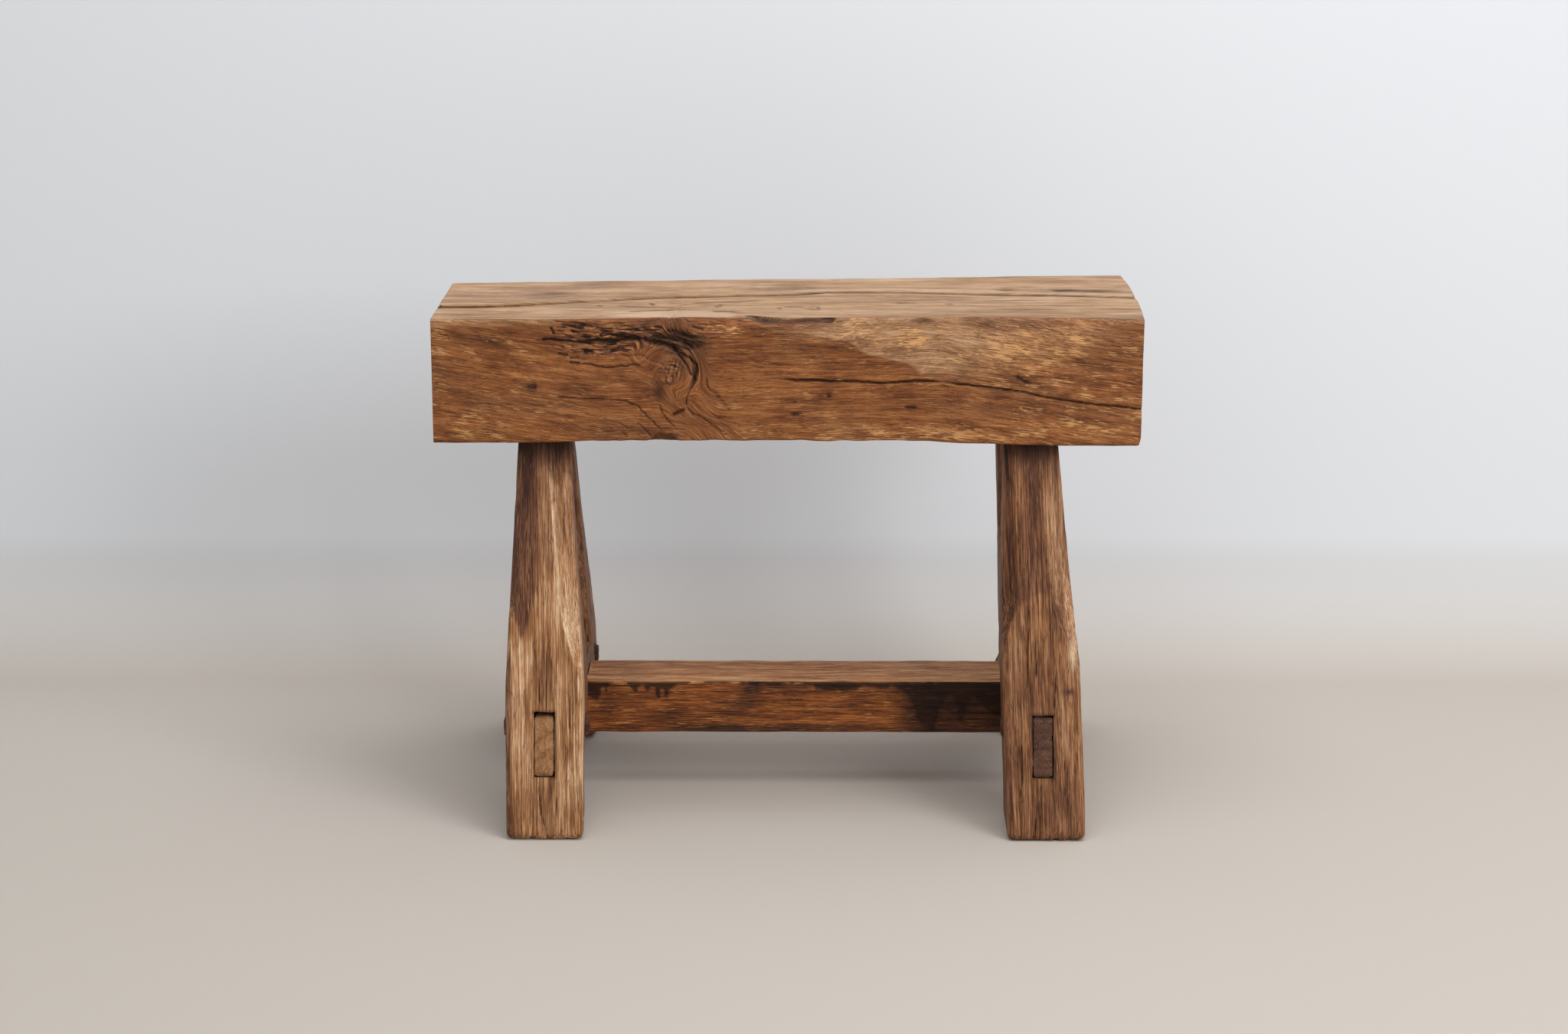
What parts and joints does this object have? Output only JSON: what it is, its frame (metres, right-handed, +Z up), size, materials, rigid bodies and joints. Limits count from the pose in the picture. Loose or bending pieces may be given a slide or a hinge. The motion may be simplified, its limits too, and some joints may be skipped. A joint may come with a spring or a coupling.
{
  "type": "rustic hewn timber beam stool",
  "caption": "Low stool or short bench: a thick hewn timber seat on splayed, chamfered legs, tied by pegged side rails and a long stretcher.",
  "frame": {"origin": "on the floor, midway between the front and the back feet and under the middle of the seat's length", "axes": "+X along the seat, to the right as seen from the front; -Y out of the front face; +Z up"},
  "size_m": [0.603, 0.3608, 0.436],
  "materials": {
    "seat_wood": "waxed old hardwood, warm orange brown on the front and greyer tan on top",
    "leg_wood": "waxed old hardwood, dark red brown above and worn tan below",
    "rail_wood": "waxed old hardwood, brown end grain on the tenons",
    "stretcher_wood": "waxed old hardwood, dark red brown with black water stains",
    "peg_wood": "dark hardwood peg, hand cut"
  },
  "bodies": {
    "root": {"seat_beam": "seat_wood", "leg_front_left": "leg_wood", "leg_front_right": "leg_wood", "leg_back_left": "leg_wood", "leg_back_right": "leg_wood", "side_rail_left": "rail_wood", "side_rail_right": "rail_wood", "long_stretcher": "stretcher_wood", "peg_front_left": "peg_wood", "peg_front_right": "peg_wood", "peg_back_left": "peg_wood", "peg_back_right": "peg_wood"}
  },
  "joints": []
}
